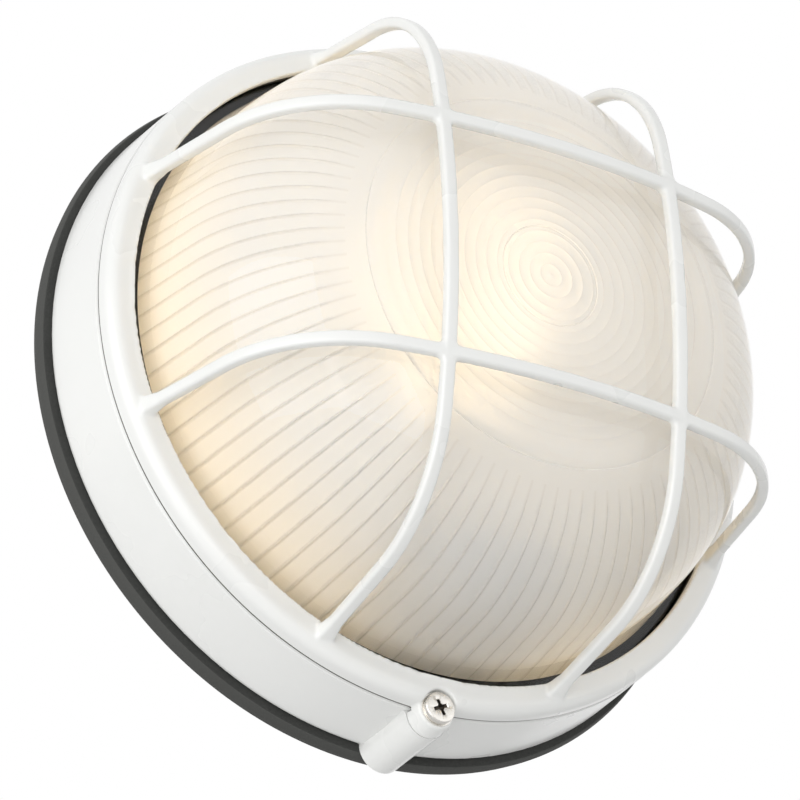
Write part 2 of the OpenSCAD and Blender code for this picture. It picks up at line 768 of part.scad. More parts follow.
module guard() {
  color(white) on_wall() difference() {
    union() {
      rotate_extrude() ring_outline();
      difference() {
        union() {
          for (turn = [0 : 90 : 270]) {
            rotate(turn) translate([0, bar_offset, 0]) guard_bar();
          }
          cross_fillets();
        }
        translate([0, 0, ring_back]) cylinder(h = ring_h, r = ring_inner_r);
      }
      difference() {
        translate([0, 0, ring_back]) {
          both_lugs() translate([0, 0, -lug_drop])
            cylinder(h = guard_lug_t + lug_drop, r1 = lug_r, r2 = lug_r - guard_lug_taper);
          linear_extrude(guard_lug_t) lug_fillets(lug_r - guard_lug_taper - fillet_sink, ring_r - fillet_sink);
        }
        cylinder(h = ring_front, r = (skirt_inner_r + ring_r) / 2);
        cylinder(h = ring_back, r = base_top_r + 2 * fit);
      }
    }
    both_lugs() translate([0, 0, guard_lug_top]) cylinder(h = ring_h, r = spot_r);
    both_lugs() translate([0, 0, ring_back - lug_drop - cut]) cylinder(h = ring_h + lug_drop, r = screw_d / 2 + fit);
  }
}

module screw_washers() {
  color(zinc) on_wall() both_lugs() translate([0, 0, guard_lug_top]) difference() {
    cylinder(h = washer_t, r = head_d / 2 + fit / 2);
    translate([0, 0, -cut]) cylinder(h = washer_t + 2 * cut, r = screw_d / 2 + thread_fit);
  }
}

module retaining_screw(side) {
  color(zinc) on_wall() translate([0, side * screw_r, head_under])
    pan_screw(screw_d, screw_len, head_d / 2, head_h, recess_depth);
}

module retaining_screw_upper() {
  retaining_screw(1);
}

module retaining_screw_lower() {
  retaining_screw(-1);
}

wall_gasket();
base_housing();
cable_grommet();
earth_screw();
earth_washer();
holder_bracket();
bracket_screws();
bracket_washers();
lampholder_body();
lampholder_shell();
lampholder_contact();
terminal_plates();
terminal_screws();
lampholder_screws();
lampholder_nuts();
lamp();
glass_seal();
glass_dome();
guard();
screw_washers();
retaining_screw_upper();
retaining_screw_lower();
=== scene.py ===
import math

import bpy
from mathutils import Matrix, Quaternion, Vector


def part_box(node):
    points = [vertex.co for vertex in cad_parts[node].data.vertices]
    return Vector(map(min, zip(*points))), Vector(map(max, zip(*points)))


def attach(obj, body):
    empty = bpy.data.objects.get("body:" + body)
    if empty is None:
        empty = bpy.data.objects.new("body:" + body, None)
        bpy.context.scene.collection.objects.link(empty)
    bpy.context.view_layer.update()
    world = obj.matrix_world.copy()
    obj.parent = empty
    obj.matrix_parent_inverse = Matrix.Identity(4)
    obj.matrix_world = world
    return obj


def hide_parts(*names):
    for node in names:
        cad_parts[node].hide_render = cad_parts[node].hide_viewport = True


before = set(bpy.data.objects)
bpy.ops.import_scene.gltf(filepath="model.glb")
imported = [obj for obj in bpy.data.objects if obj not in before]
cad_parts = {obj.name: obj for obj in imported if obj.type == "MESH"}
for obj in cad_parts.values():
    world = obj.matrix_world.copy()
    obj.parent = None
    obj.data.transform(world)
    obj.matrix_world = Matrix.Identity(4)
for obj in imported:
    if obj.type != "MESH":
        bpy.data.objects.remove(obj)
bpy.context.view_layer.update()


# Wall gasket: a flat ring of closed-cell foam rubber, die-cut from sheet and laid behind the base.
# The base squeezes it against the wall, so its cut rim bulges a little between the two.
MM = 0.001
WELD = 0.01 * MM


class Wire:
    """A shader socket in a formula: an operator adds a Math node, and node() adds any other node."""

    def __init__(self, socket):
        self.socket = socket
        self.tree = socket.id_data

    def node(self, kind, settings, sockets, output=0):
        made = self.tree.nodes.new("ShaderNode" + kind)
        for name, value in settings.items():
            setattr(made, name, value)
        for name, value in sockets.items():
            if isinstance(value, Wire):
                self.tree.links.new(value.socket, made.inputs[name])
            else:
                made.inputs[name].default_value = value
        return Wire(made.outputs[output])

    def math(self, operation, *values):
        return self.node("Math", {"operation": operation}, dict(enumerate(values)))

    def __add__(self, other):
        return self.math("ADD", self, other)

    def __sub__(self, other):
        return self.math("SUBTRACT", self, other)

    def __rsub__(self, other):
        return self.math("SUBTRACT", other, self)

    def __mul__(self, other):
        if isinstance(other, tuple):
            return self.node("VectorMath", {"operation": "MULTIPLY"}, {0: self, 1: other})
        return self.math("MULTIPLY", self, other)

    def __lt__(self, other):
        return self.math("LESS_THAN", self, other)

    def __gt__(self, other):
        return self.math("GREATER_THAN", self, other)

    def __abs__(self):
        return self.math("ABSOLUTE", self)

    __radd__ = __add__
    __rmul__ = __mul__

    def at_least(self, other):
        return self.math("MAXIMUM", self, other)

    def feed(self, shader, socket):
        self.tree.links.new(self.socket, shader.inputs[socket])


def start_finish(name, values):
    """A new material with its constant values: returns it, its shader and its Object coordinates."""
    material = bpy.data.materials.new(name)
    material.use_nodes = True
    shader = material.node_tree.nodes["Principled BSDF"]
    for socket, value in values.items():
        shader.inputs[socket].default_value = value
    coordinates = material.node_tree.nodes.new("ShaderNodeTexCoord")
    return material, shader, Wire(coordinates.outputs["Object"])


def from_axis(place):
    """How far a place is from the light's axis, in metres."""
    across = place * (1, 0, 1)
    return across.node("VectorMath", {"operation": "LENGTH"}, {0: across}, output="Value")


def noise(place, size, detail=2.0):
    """Cloudy noise whose lumps measure about size mm."""
    return place.node("TexNoise", {}, {"Vector": place, "Scale": 1 / (size * MM), "Detail": detail})


def cells(place, size):
    """A mosaic of cells that measure about size mm, darkest at their middles."""
    return place.node("TexVoronoi", {}, {"Vector": place, "Scale": 1 / (size * MM)})


def tint(mask, dark, light):
    """A colour from dark, where mask is 0, to light, where it is 1. Each end is a colour or a wire."""
    dark, light = (end if isinstance(end, Wire) else (*end, 1) for end in (dark, light))
    return mask.node("Mix", {"data_type": "RGBA"}, {0: mask, 6: dark, 7: light}, output=2)


def dent(height, depth, strength):
    """A normal for a surface whose height runs from 0 to 1 over depth mm."""
    return height.node("Bump", {}, {"Height": height, "Distance": depth * MM, "Strength": strength})


def select_only(*pieces):
    """Deselects everything but these pieces, and makes the last of them active."""
    bpy.ops.object.select_all(action="DESELECT")
    for piece in pieces:
        piece.select_set(True)
        bpy.context.view_layer.objects.active = piece


def outline(points):
    """Draws a chain of edges through points in a new mesh: one corner, extruded from point to point."""
    select_only()
    bpy.ops.mesh.primitive_plane_add(enter_editmode=True)
    bpy.ops.mesh.merge(type="CENTER")
    bpy.ops.transform.translate(value=points[0])
    for start, end in zip(points, points[1:]):
        step = Vector(end) - Vector(start)
        bpy.ops.mesh.extrude_region_move(TRANSFORM_OT_translate={"value": step})
    bpy.ops.mesh.select_all(action="SELECT")


def half_section(profile):
    """Draws an outline of (radius, height over the wall) in mm on the right of the light's axis."""
    outline([(radius * MM, -height * MM, 0) for radius, height in profile])


def weld():
    """Merges the doubles of the mesh in edit mode and turns its faces outwards."""
    bpy.ops.mesh.select_all(action="SELECT")
    bpy.ops.mesh.remove_doubles(threshold=WELD)
    bpy.ops.mesh.normals_make_consistent(inside=False)


def turned(profile, steps):
    """Spins an outline of (radius, height over the wall) in mm round the light's axis."""
    half_section(profile)
    bpy.ops.mesh.spin(steps=steps, angle=2 * math.pi, center=(0, 0, 0), axis=(0, 1, 0))
    weld()


def arc(centre, radius, start, end, steps):
    """Points on an arc in (radius, height) mm, at angles in degrees from straight out to the front."""
    turns = [math.radians(start + (end - start) * step / steps) for step in range(steps + 1)]
    return [(centre[0] + radius * math.sin(t), centre[1] + radius * math.cos(t)) for t in turns]


def take_piece(name, smooth=35):
    """Leaves edit mode and returns the new piece under its name, with smooth shading."""
    bpy.ops.object.mode_set(mode="OBJECT")
    piece = bpy.context.object
    piece.name = name
    piece.data.name = name
    bpy.ops.object.shade_smooth_by_angle(angle=math.radians(smooth))
    return piece


gasket_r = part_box("wall_gasket")[1].x / MM
gasket_t = -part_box("wall_gasket")[0].y / MM
gasket_ring_w = 26
gasket_edge = 0.7
gasket_bulge = 0.5
gasket_steps = 240
edge_steps = 4
foam_dark = (0.030, 0.031, 0.029)
foam_light = (0.048, 0.049, 0.046)
foam_cut = (0.066, 0.067, 0.063)
foam_cell = 0.9
foam_cloud = 9
foam_mottle = 0.6
foam_pit = 0.12
foam_skin = 0.3

gasket_inner_r = gasket_r - gasket_ring_w
edge_r = gasket_r - gasket_bulge - gasket_edge
gasket_profile = [(gasket_inner_r, 0), (edge_r, 0)]
gasket_profile += arc((edge_r, gasket_edge), gasket_edge, 180, 90, edge_steps)
gasket_profile += [(gasket_r, gasket_t / 2)]
gasket_profile += arc((edge_r, gasket_t - gasket_edge), gasket_edge, 90, 0, edge_steps)
gasket_profile += [(gasket_inner_r, gasket_t), (gasket_inner_r, 0)]
turned(gasket_profile, gasket_steps)
gasket = take_piece("foam_gasket", smooth=50)

foam, shader, place = start_finish("foam_rubber", {"Roughness": 0.85, "Specular IOR Level": 0.35})
pores = cells(place, foam_cell)
mottle = noise(place, foam_cloud, detail=4.0) * foam_mottle + pores * (1 - foam_mottle)
skin = tint(mottle, foam_dark, foam_light)
rim = from_axis(place) > (gasket_r - gasket_bulge - foam_skin) * MM
tint(rim, skin, foam_cut).feed(shader, "Base Color")
dent(pores, foam_pit, strength=0.6).feed(shader, "Normal")
gasket.data.materials.append(foam)
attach(gasket, "base")
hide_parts("wall_gasket")


# Base housing: a shallow round pan, die-cast in aluminium and powder-coated gloss white.
# It screws to the wall through its floor, and its two lugs take the screws that hold the guard.
# Painted shade darkens its joint with the guard's ring, in the paint of both.
def part_of(place, axis):
    """The X, Y or Z of a place, in metres."""
    return place.node("SeparateXYZ", {}, {"Vector": place}, output=axis)


def spread(mask, low, high):
    """A number from low, where mask is 0, to high, where it is 1."""
    return mask * (high - low) + low


def dress(node, material):
    """Gives a piece of the frame its finish."""
    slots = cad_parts[node].data.materials
    slots.clear()
    slots.append(material)


paint_shade = (0.80, 0.805, 0.785)
paint_light = (0.845, 0.85, 0.832)
paint_rough = (0.24, 0.32)
paint_cloud = 30
paint_peel = 2.4
peel_depth = 0.05
seam_at = 31.72
seam_half = 0.4
seam_r = 103.45
# Colour of the painted shade along the joint of base and ring.
seam_shade_colour = (0.055, 0.050, 0.042)

white_paint, shader, place = start_finish(
    "white_paint", {"Coat Weight": 0.35, "Coat Roughness": 0.22, "Coat IOR": 1.5}
)
clouds = noise(place, paint_cloud, detail=3.0)
# A thin band of painted shade where the base meets the guard's ring.
seam_shade = (abs(part_of(place, "Y") + seam_at * MM) < seam_half * MM) * (from_axis(place) < seam_r * MM)
tint(seam_shade, tint(clouds, paint_shade, paint_light), seam_shade_colour).feed(shader, "Base Color")
spread(clouds, *paint_rough).feed(shader, "Roughness")
dent(noise(place, paint_peel), peel_depth, strength=0.25).feed(shader, "Normal")
dress("base_housing", white_paint)


# Cable grommet: a black rubber ring, moulded with a groove and pushed into the hole in the floor.
# The supply comes through its bore from the wall.
rubber_dark = (0.016, 0.015, 0.014)
rubber_bloom = (0.034, 0.032, 0.030)
rubber_rough = (0.5, 0.7)
bloom_size = 6
rubber_grain = 0.8
grain_depth = 0.04

black_rubber, shader, place = start_finish("black_rubber", {"Specular IOR Level": 0.4})
bloom = noise(place, bloom_size, detail=5.0)
tint(bloom, rubber_dark, rubber_bloom).feed(shader, "Base Color")
spread(bloom, *rubber_rough).feed(shader, "Roughness")
dent(noise(place, rubber_grain), grain_depth, strength=0.5).feed(shader, "Normal")
dress("cable_grommet", black_rubber)


# Earth screw and washer: turned brass, left bare and a little tarnished.
# The screw is driven into a boss of the floor, and clamps the earth wire under the washer.
brass_dark = (0.52, 0.36, 0.13)
brass_light = (0.80, 0.60, 0.27)
brass_rough = (0.22, 0.42)
tarnish_size = 4

brass, shader, place = start_finish("brass", {"Metallic": 1.0})
tarnish = noise(place, tarnish_size, detail=5.0)
tint(tarnish, brass_dark, brass_light).feed(shader, "Base Color")
spread(tarnish, *brass_rough).feed(shader, "Roughness")
for node in ("earth_screw", "earth_washer"):
    dress(node, brass)


# Holder bracket: a strip of steel, pierced, bent to an angle and zinc-plated.
# Two screws with washers hold its foot on the bosses of the floor.
zinc_dark = (0.42, 0.43, 0.43)
zinc_light = (0.66, 0.67, 0.66)
zinc_rough = (0.26, 0.46)
spangle_size = 3
spangle_share = 0.5
rolled_grain = 0.5
rolled_way = (0.05, 1, 1)

zinc_steel, shader, place = start_finish("zinc_steel", {"Metallic": 1.0})
grain = noise(place.node("Mapping", {}, {"Vector": place, "Scale": rolled_way}), rolled_grain)
spangle = cells(place, spangle_size) * spangle_share + grain * (1 - spangle_share)
tint(spangle, zinc_dark, zinc_light).feed(shader, "Base Color")
spread(grain, *zinc_rough).feed(shader, "Roughness")
for node in ("holder_bracket", "bracket_screws", "bracket_washers", "lampholder_screws", "lampholder_nuts"):
    dress(node, zinc_steel)


# Lampholder: a glazed porcelain body with a brass screw shell, a centre contact and two wire terminals.
# Two long screws and nuts clamp it to the upright of the bracket.
glaze_dark = (0.72, 0.69, 0.61)
glaze_light = (0.82, 0.80, 0.73)
glaze_rough = (0.2, 0.3)
glaze_size = 12
glaze_depth = 0.2

porcelain, shader, place = start_finish("porcelain", {"Coat Weight": 0.6, "Coat Roughness": 0.04})
glaze = noise(place, glaze_size, detail=3.0)
tint(glaze, glaze_dark, glaze_light).feed(shader, "Base Color")
spread(glaze, *glaze_rough).feed(shader, "Roughness")
dent(glaze, glaze_depth, strength=0.3).feed(shader, "Normal")
dress("lampholder_body", porcelain)
for node in ("lampholder_shell", "lampholder_contact", "terminal_plates", "terminal_screws"):
    dress(node, brass)


# Lamp: a lit bulb of opal-coated blown glass, cemented into a pressed metal screw cap.
# It screws into the brass shell and lights the whole of the cover from inside.
lamp_low, lamp_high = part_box("lamp")
lamp_axis = (0, (lamp_low.y + lamp_high.y) / 2, 0)
lamp_tip = lamp_low.z / MM
lamp_steps = 96
contact_r = 4.7
contact_h = 1.5
cap_r = 13.0
cap_len = 24.0
cap_foot = 4
cap_edge = 1
thread_from = 5
thread_pitch = 3.6
thread_depth = 0.8
thread_turns = 4
thread_rows = 8
neck_r = 14.5
neck_rows = (3, 8)
neck_from = 142
bulb_r = lamp_high.x / MM
bulb_middle = lamp_high.z / MM - bulb_r
bulb_steps = 32
cap_dark = (0.55, 0.55, 0.54)
cap_light = (0.74, 0.74, 0.73)
cap_rough = (0.22, 0.42)
scuff_size = 3
opal_dark = (0.90, 0.86, 0.78)
opal_light = (0.95, 0.92, 0.86)
haze_size = 25
glow_colour = (1.0, 0.77, 0.46)
lamp_glow = 6.6
glow_at = -10.0
glow_reach = 28.0
glow_least = 0.55
glow_uneven = (0.95, 1.05)


def turned_lamp(profile):
    """Spins an outline of (radius, height along the lamp) in mm round the lamp's upright axis."""
    outline([(radius * MM, lamp_axis[1], along * MM) for radius, along in profile])
    bpy.ops.mesh.spin(steps=lamp_steps, angle=2 * math.pi, center=lamp_axis, axis=(0, 0, 1))
    weld()


cap_end = lamp_tip + cap_len
cap_profile = [(0, lamp_tip), (contact_r, lamp_tip), (contact_r + cap_edge, lamp_tip + contact_h)]
cap_profile += [(cap_r - cap_edge, lamp_tip + cap_foot)]
for turn in range(thread_turns):
    low = lamp_tip + thread_from + turn * thread_pitch
    for row in range(thread_rows):
        sink = thread_depth * (1 - math.sin(math.pi * row / thread_rows))
        cap_profile.append((cap_r - sink, low + row * thread_pitch / thread_rows))
cap_profile += [(cap_r, cap_end - cap_edge), (cap_r, cap_end)]
bulb_profile = [(cap_r, cap_end), *((neck_r, cap_end + row) for row in neck_rows)]
bulb_profile += arc((0, bulb_middle), bulb_r, neck_from, 0, bulb_steps)

cap_metal, shader, place = start_finish("cap_metal", {"Metallic": 1.0})
scuff = noise(place, scuff_size, detail=4.0)
tint(scuff, cap_dark, cap_light).feed(shader, "Base Color")
spread(scuff, *cap_rough).feed(shader, "Roughness")

opal, shader, place = start_finish("lamp_glass", {"Roughness": 0.35, "Emission Strength": lamp_glow})
haze = noise(place, haze_size)
away = (part_of(place, "Z") - glow_at * MM) * (1 / (glow_reach * MM))
belt = (1 - away * away).at_least(glow_least) * spread(haze, *glow_uneven)
tint(haze, opal_dark, opal_light).feed(shader, "Base Color")
tint(belt, (0, 0, 0), glow_colour).feed(shader, "Emission Color")

turned_lamp(cap_profile)
lamp_cap = take_piece("lamp_cap")
lamp_cap.data.materials.append(cap_metal)
turned_lamp(bulb_profile)
lamp = take_piece("lamp_bulb")
lamp.data.materials.append(opal)
lamp_cap.select_set(True)
bpy.ops.object.join()
bpy.ops.object.mode_set(mode="EDIT")
weld()
bpy.ops.object.mode_set(mode="OBJECT")
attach(lamp, "base")
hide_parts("lamp")


# Glass seal: a moulded rubber channel that wraps the foot flange of the glass.
# The guard's ring presses it down on the ledge of the base.
dress("glass_seal", black_rubber)


# Glass dome: pressed soda glass, clear and smooth outside and etched inside.
# Ribs run down its inner side, and concentric lens rings fill its nearly flat front.
glass_top = 99.9
glass_t = 3.4
crown_r = 700.0
crown_angle = 3.563
crown_steps = 5
shoulder = (40.462, 49.742)
shoulder_r = 48.9
shoulder_steps = 20
side_top = 47
glass_lean = 9.0
glass_foot_r = 91.8
ring_front = 38.2
flange_r = 96.6
flange_top = 34.2
flange_back = 30.8
rib_count = 96
rib_depth = 0.55
rib_groove = 0.12
rib_steps = 3
rib_foot = 0.3
rib_end_r = 60.5
rib_rises = ((0.5, 0.3), (4.0, 0.3), (9.0, 0.4))
lens_pitch = 3.4
lens_rings = 15
lens_depth = 0.16
lens_middle = 0.5
lens_swell = ((0.0, 0.0), (0.1, 0.8), (lens_middle, 1.0), (0.9, 0.8))
line_depth = 0.25
lens_edge_r = 55.2
lens_edge_half = 0.4
lens_edge_rows = (58, 53)
lens_line_r = 15.0
lens_line_half = 0.25


def glass_side_r(height, depth):
    """Radius on the straight side of the glass, at a depth inside its outer face."""
    lean = math.radians(glass_lean)
    return glass_foot_r + (ring_front - height) * math.tan(lean) - depth / math.cos(lean)


def glass_inner_h(radius):
    """Height of the plain inner face over a radius on the crown or the shoulder."""
    crown = crown_r - glass_t
    if radius < crown * math.sin(math.radians(crown_angle)):
        return glass_top - crown_r + math.sqrt(crown ** 2 - radius ** 2)
    return shoulder[1] + math.sqrt((shoulder_r - glass_t) ** 2 - (radius - shoulder[0]) ** 2)


def on_inner_face(place):
    """Says whether a place on the glass is nearer its inner face than its outer one."""
    radius = math.hypot(place.x, place.z) / MM
    height = -place.y / MM
    if height < shoulder[1]:
        return radius < glass_side_r(height, glass_t / 2)
    if radius > shoulder[0]:
        return math.hypot(radius - shoulder[0], height - shoulder[1]) < shoulder_r - glass_t / 2
    return math.hypot(radius, height - glass_top + crown_r) < crown_r - glass_t / 2


def copy_round(copies, angle):
    """Repeats the mesh in edit mode round the light's axis, over an angle in radians."""
    bpy.ops.mesh.select_all(action="SELECT")
    bpy.ops.mesh.spin(steps=copies, angle=angle, dupli=True, center=(0, 0, 0), axis=(0, 1, 0))


rib_end_angle = math.degrees(math.asin((rib_end_r - shoulder[0]) / (shoulder_r - glass_t)))
inner_rows = (flange_back, flange_back + 2 * rib_foot, ring_front, side_top)
glass_profile = arc((0, glass_top - crown_r), crown_r, 0, crown_angle, crown_steps)
glass_profile += arc(shoulder, shoulder_r, crown_angle, 90 - glass_lean, shoulder_steps)[1:]
glass_profile += [(glass_side_r(h, 0), h) for h in (ring_front, flange_top)]
glass_profile += [(flange_r, flange_top), (flange_r, flange_back)]
glass_profile += [(glass_side_r(h, glass_t), h) for h in inner_rows]
glass_profile += arc(shoulder, shoulder_r - glass_t, 90 - glass_lean, rib_end_angle, shoulder_steps)
edge_line = [(lens_edge_r + lens_edge_half, 0), (lens_edge_r, line_depth), (lens_edge_r - lens_edge_half, 0)]
for radius, sink in ((lens_edge_rows[0], 0), *edge_line, (lens_edge_rows[1], 0)):
    glass_profile.append((radius, glass_inner_h(radius) - sink))
for ring in range(lens_rings, 0, -1):
    for share, swell in lens_swell:
        radius = (ring - share) * lens_pitch
        glass_profile.append((radius, glass_inner_h(radius) - swell * lens_depth))
        if share == lens_middle and radius - lens_pitch / 2 < lens_line_r < radius:
            for out, sink in ((lens_line_half, 0), (0, line_depth), (-lens_line_half, 0)):
                glass_profile.append((lens_line_r + out, glass_inner_h(lens_line_r) - lens_depth - sink))
glass_profile.append((0, glass_inner_h(0)))

rib_angle = 2 * math.pi / rib_count
half_section(glass_profile)
for steps, share in ((1, rib_groove), (rib_steps, 1 - 2 * rib_groove), (1, rib_groove)):
    bpy.ops.mesh.spin(steps=steps, angle=rib_angle * share, center=(0, 0, 0), axis=(0, 1, 0))
weld()
for run_in, share in rib_rises:
    bpy.ops.mesh.select_all(action="DESELECT")
    bpy.ops.object.mode_set(mode="OBJECT")
    for corner in bpy.context.object.data.vertices:
        turn = abs(math.atan2(corner.co.z, corner.co.x)) / rib_angle
        ribbed = math.hypot(corner.co.x, corner.co.z) / MM > rib_end_r + run_in
        ribbed = ribbed and -corner.co.y / MM > flange_back + rib_foot and on_inner_face(corner.co)
        corner.select = ribbed and rib_groove / 2 < turn < 1 - rib_groove / 2
    bpy.ops.object.mode_set(mode="EDIT")
    bpy.ops.transform.shrink_fatten(value=rib_depth * share * MM)
copy_round(rib_count - 1, rib_angle * (rib_count - 1))
weld()
glass = take_piece("glass_dome_ribbed", smooth=30)

glass_ior = 1.45
clear_tint = (1.0, 0.998, 0.99, 1)
clear_rough = (0.02, 0.04)
wave_size = 40
etched_dark = (0.965, 0.955, 0.93)
etched_light = (0.995, 0.99, 0.975)
etched_rough = (0.45, 0.55)
etched_grain = 0.7
milk_through = (0.98, 0.97, 0.95, 1)
milk_back = (1.0, 0.988, 0.962, 1)
milk_rows = (38, 72)
milk_foot = 0.97
milk_crown = 0.932
milk_grain = 0.2
back_foot = 0.73
back_crown = 0.978
# Colour of the painted shade along the grooves of the ribs.
groove_shade_colour = (0.62, 0.57, 0.50, 1)
groove_half = 0.15
groove_foot = 0.4
groove_end = 0.15

clear_values = {"Transmission Weight": 1.0, "IOR": glass_ior, "Base Color": clear_tint}
clear_glass, shader, place = start_finish("clear_glass", clear_values)
spread(noise(place, wave_size), *clear_rough).feed(shader, "Roughness")

etched_glass, shader, place = start_finish("etched_glass", {"Transmission Weight": 1.0, "IOR": glass_ior})
frost = noise(place, etched_grain, detail=3.0)
tint(frost, etched_dark, etched_light).feed(shader, "Base Color")
spread(frost, *etched_rough).feed(shader, "Roughness")
rise = {"Value": part_of(place, "Y"), "From Min": -milk_rows[0] * MM, "From Max": -milk_rows[1] * MM}
back_share = place.node("MapRange", {}, {**rise, "To Min": back_foot, "To Max": back_crown})
milk = place.node("MapRange", {}, {**rise, "To Min": milk_foot, "To Max": milk_crown})
ribs = place.math("ARCTAN2", part_of(place, "Z"), part_of(place, "X")) * (rib_count / (2 * math.pi))
groove = (1 - ribs.math("PINGPONG", ribs, 0.5) * (1 / groove_half)).at_least(0.0)
out = from_axis(place)
reach = {"Value": out, "From Min": rib_end_r * MM, "From Max": glass_foot_r * MM}
fade = place.node("MapRange", {}, {**reach, "To Min": groove_end, "To Max": groove_foot})
groove = groove * (out > rib_end_r * MM) * fade
through = place.node("BsdfTranslucent", {}, {"Color": milk_through})
back = place.node("BsdfDiffuse", {}, {"Color": milk_back})
# Painted shade: a darker diffuse mixed in along each groove of the ribs, strongest towards the foot.
shade = place.node("BsdfDiffuse", {}, {"Color": groove_shade_colour})
milky = place.node("MixShader", {}, {"Fac": back_share, 1: through, 2: back})
lined = place.node("MixShader", {}, {"Fac": groove, 1: milky, 2: shade})
etched = {"Fac": milk + (frost - 0.5) * milk_grain, 1: Wire(shader.outputs["BSDF"]), 2: lined}
place.node("MixShader", {}, etched).feed(etched_glass.node_tree.nodes["Material Output"], "Surface")

glass.data.materials.append(clear_glass)
glass.data.materials.append(etched_glass)
for face in glass.data.polygons:
    face.material_index = 1 if on_inner_face(face.center) else 0
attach(glass, "cover")
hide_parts("glass_dome")


# Guard: a ring with two pairs of crossing bars, die-cast in one piece and powder-coated.
# Its lugs take the retaining screws, and the bars flare and blend into the ring as castings do.
ring_r = 103.2
ring_back = 31.7
ring_inner_r = 95.3
ring_corner_r = 3.5
ring_corner_steps = 8
ring_lip = 0.25
ring_bead = 0.35
ring_bead_w = 1.4
ring_under = 35.8
ring_steps = 240
skirt_inner_r = 98.4
bar_offset = 36.5
bar_w = 3.8
bar_depth = 3.2
bar_edge = 0.6
bar_edge_steps = 4
bar_top = 105.45
bar_crown_r = 265.0
bar_crown_angle = 11.132
bar_crown_steps = 16
bar_shoulder = (42.976, 58.862)
bar_shoulder_angle = 66.568
bar_shoulder_steps = 36
bar_lean = 12.3
bar_leg = 31.62
flare_h = 7.0
flare_grow = 1.5
flare_rows = (0.4, 0.3, 0.3)
cross_h = 102.92
cross_web = 4.9
web_share = 0.6
lug_r = 6.4
lug_taper = 0.9
lug_t = 3.4
lug_drop = 1.95
lug_steps = 64
base_clear_r = 104.0
screw_r = 103.75
spot_r = 5.05
spot_top = 45
hole_r = 2.8
hole_steps = 48
cast_grain = 0.5
cast_smooth = 5
cast_keep = 0.5
cast_spare = 1.4


def at_wall(radius, height):
    """The place of a (radius, height over the wall) in mm on the right of the light."""
    return Vector((radius * MM, -height * MM, 0))


def one_object(*parts):
    """Joins parts into the last of them."""
    select_only(*parts)
    bpy.ops.object.join()
    return parts[-1]


def modify(piece, kind, **settings):
    """Adds a modifier to a piece and applies it."""
    select_only(piece)
    bpy.ops.object.modifier_add(type=kind)
    added = piece.modifiers[-1]
    for name, value in settings.items():
        setattr(added, name, value)
    bpy.ops.object.modifier_apply(modifier=added.name)


def cut_away(piece, cutter):
    """Takes a cutter out of a piece and deletes it."""
    modify(piece, "BOOLEAN", object=cutter, operation="DIFFERENCE", solver="EXACT")
    bpy.data.objects.remove(cutter)


def lay_flat():
    """Applies the turn of a new primitive and opens it in edit mode."""
    bpy.ops.object.transform_apply(rotation=True)
    bpy.ops.object.mode_set(mode="EDIT")


skirt_back = ring_back - cast_spare
corner = (ring_r - ring_corner_r, ring_front - ring_corner_r)
ring_profile = [(skirt_inner_r, skirt_back), (ring_r, skirt_back)]
ring_profile += arc(corner, ring_corner_r, 90, 0, ring_corner_steps)
ring_profile += [(ring_inner_r + ring_bead_w, ring_front), (ring_inner_r + ring_lip, ring_front + ring_bead)]
ring_profile += [(ring_inner_r, ring_front + ring_bead - ring_lip), (ring_inner_r, ring_under)]
ring_profile += [(skirt_inner_r, ring_under), (skirt_inner_r, skirt_back)]
turned(ring_profile, ring_steps)
ring = take_piece("guard_ring")

select_only()
bpy.ops.mesh.primitive_plane_add(rotation=(0, math.pi / 2, 0))
lay_flat()
bpy.ops.transform.resize(value=(1, bar_depth * MM / 2, bar_w * MM / 2))
bpy.ops.mesh.bevel(affect="VERTICES", offset=bar_edge * MM, segments=bar_edge_steps)
bpy.ops.mesh.delete(type="ONLY_FACE")
bpy.ops.mesh.select_all(action="SELECT")
bpy.ops.transform.translate(value=(0, -bar_top * MM, bar_offset * MM))
bends = [(bar_crown_steps, bar_crown_angle, at_wall(0, bar_top - bar_crown_r))]
bends += [(bar_shoulder_steps, bar_shoulder_angle, at_wall(*bar_shoulder))]
for steps, angle, centre in bends:
    bpy.ops.mesh.spin(steps=steps, angle=math.radians(angle), center=centre, axis=(0, 0, -1))
leg_way = Vector((math.sin(math.radians(bar_lean)), math.cos(math.radians(bar_lean)), 0))
bpy.ops.mesh.extrude_region_move(TRANSFORM_OT_translate={"value": leg_way * (bar_leg - flare_h) * MM})
for share in flare_rows:
    bpy.ops.mesh.extrude_region_move(TRANSFORM_OT_translate={"value": leg_way * share * flare_h * MM})
    bpy.ops.transform.resize(value=[flare_grow ** share] * 3)
bpy.ops.mesh.edge_face_add()
weld()
bars = take_piece("guard_bars")
modify(bars, "MIRROR", use_axis=(True, False, True), merge_threshold=WELD)
bpy.ops.object.mode_set(mode="EDIT")
copy_round(1, math.pi / 2)
bpy.ops.object.mode_set(mode="OBJECT")

select_only()
bpy.ops.mesh.primitive_cylinder_add(
    vertices=4, radius=cross_web * MM, depth=bar_depth * web_share * MM, rotation=(math.pi / 2, 0, 0)
)
lay_flat()
bpy.ops.transform.translate(value=(bar_offset * MM, -cross_h * MM, bar_offset * MM))
copy_round(3, math.pi * 1.5)
webs = take_piece("guard_webs")

select_only()
bpy.ops.mesh.primitive_cone_add(
    vertices=lug_steps, radius1=lug_r * MM, radius2=(lug_r - lug_taper) * MM,
    depth=(lug_t + lug_drop + cast_spare) * MM, rotation=(math.pi / 2, 0, 0),
)
lay_flat()
bpy.ops.transform.translate(value=(0, -(ring_back + (lug_t - lug_drop - cast_spare) / 2) * MM, screw_r * MM))
bpy.ops.mesh.bisect(
    plane_co=(0, 0, (skirt_inner_r + ring_r) / 2 * MM), plane_no=(0, 0, 1), use_fill=True, clear_inner=True
)
copy_round(1, math.pi)
lugs = take_piece("guard_lugs")


